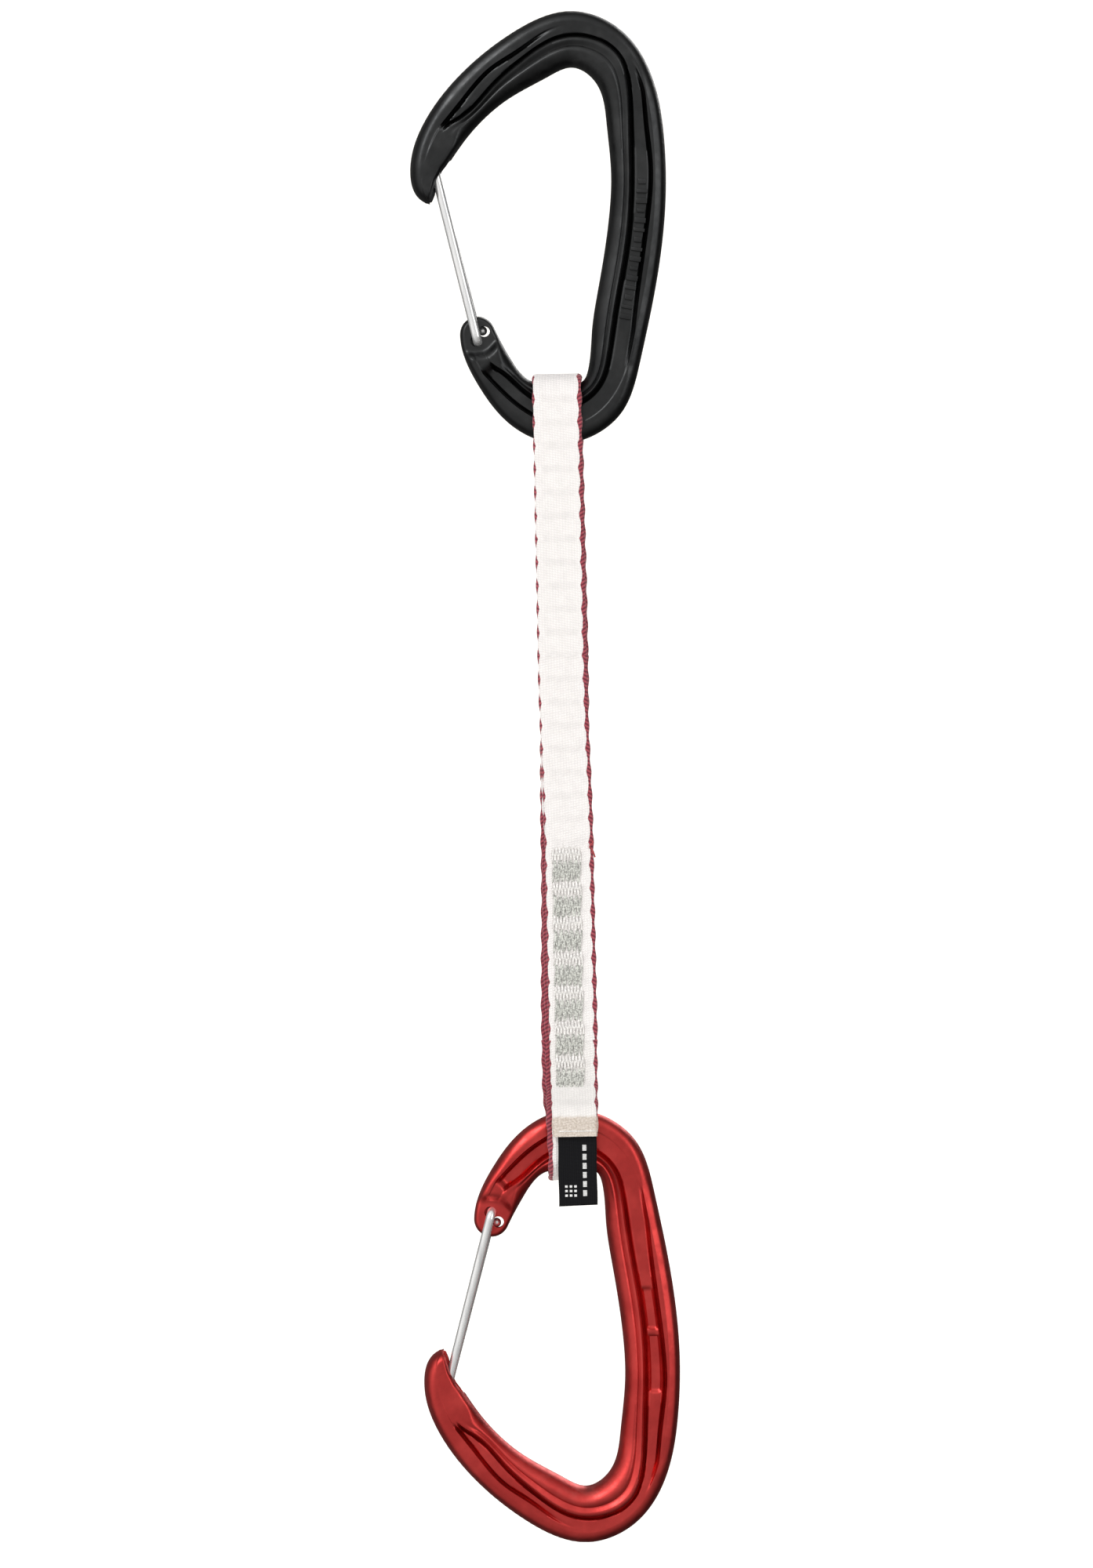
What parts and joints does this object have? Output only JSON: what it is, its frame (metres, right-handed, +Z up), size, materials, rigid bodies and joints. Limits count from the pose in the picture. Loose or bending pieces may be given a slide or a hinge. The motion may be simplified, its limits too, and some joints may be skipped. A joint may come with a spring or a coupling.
{
  "type": "climbing quickdraw",
  "caption": "Hanging climbing quickdraw: two wiregate carabiners with I-beam spines, joined by a bar-tacked tape sling with a small flag label.",
  "frame": {"origin": "deepest point of the upper carabiner's hanger bay, on the carabiners' mid-plane", "axes": "+Z up as it hangs, +X towards the carabiners' spines, +Y away from the label side"},
  "size_m": [0.0582, 0.0141, 0.3386],
  "materials": {
    "black_anodised": "satin anodised",
    "red_anodised": "satin anodised",
    "steel_wire": "polished stainless wire",
    "sling_tape": "woven, crimson edges",
    "tack_thread": "zigzag thread",
    "label_cloth": "woven satin",
    "label_thread": "thread"
  },
  "bodies": {
    "upper_carabiner": {"upper_carabiner_body": "black_anodised"},
    "upper_gate": {"upper_wire_gate": "steel_wire"},
    "upper_bight": {"tape_upper_bight": "sling_tape"},
    "sling_loop": {"tape_front_leg": "sling_tape", "tape_back_leg": "sling_tape"},
    "sling_sewn": {"tape_front_ply": "sling_tape", "tape_middle_ply": "sling_tape", "tape_back_ply": "sling_tape", "bar_tack_1": "tack_thread", "bar_tack_2": "tack_thread", "bar_tack_3": "tack_thread", "bar_tack_4": "tack_thread", "bar_tack_5": "tack_thread", "bar_tack_6": "tack_thread", "bar_tack_7": "tack_thread"},
    "lower_bight": {"tape_lower_bight": "sling_tape", "tape_tail_end": "sling_tape", "woven_label": "label_cloth", "label_stitching": "label_thread"},
    "lower_carabiner": {"lower_carabiner_body": "red_anodised"},
    "lower_gate": {"lower_wire_gate": "steel_wire"}
  },
  "joints": [
    {"name": "upper_gate_opening", "type": "hinge", "parent": "upper_carabiner", "child": "upper_gate", "pos_m": [-0.02145, 0, -0.0591], "axis": [0, 1, 0], "range_deg": [0, 36], "stiffness_Nm_per_rad": 0.3, "springref_deg": -20.05},
    {"name": "upper_bight_slide", "type": "hinge", "parent": "upper_carabiner", "child": "upper_bight", "pos_m": [-0.0044, 0, -0.058], "axis": [0, 1, 0], "range_deg": [-6, 6], "deforming": ["tape_upper_bight"]},
    {"name": "sling_swing", "type": "hinge", "parent": "upper_bight", "child": "sling_loop", "pos_m": [-0.0044, 0, -0.0905], "axis": [1, 0, 0], "range_deg": [-80, 80]},
    {"name": "sling_twist", "type": "hinge", "parent": "sling_loop", "child": "sling_sewn", "pos_m": [-0.0044, 0, -0.172], "axis": [0, 0, 1], "range_deg": [-90, 90], "stiffness_Nm_per_rad": 0.001},
    {"name": "lower_bight_swing", "type": "hinge", "parent": "sling_sewn", "child": "lower_bight", "pos_m": [-0.0044, 0, -0.228], "axis": [1, 0, 0], "range_deg": [-75, 75], "deforming": ["tape_lower_bight", "tape_tail_end"]},
    {"name": "lower_carabiner_slide", "type": "hinge", "parent": "lower_bight", "child": "lower_carabiner", "pos_m": [-0.004, 0, -0.256], "axis": [0, 1, 0], "range_deg": [-6, 6]},
    {"name": "lower_gate_opening", "type": "hinge", "parent": "lower_carabiner", "child": "lower_gate", "pos_m": [-0.02172, 0, -0.25379], "axis": [0, -1, 0], "range_deg": [0, 36], "stiffness_Nm_per_rad": 0.3, "springref_deg": -20.05}
  ]
}
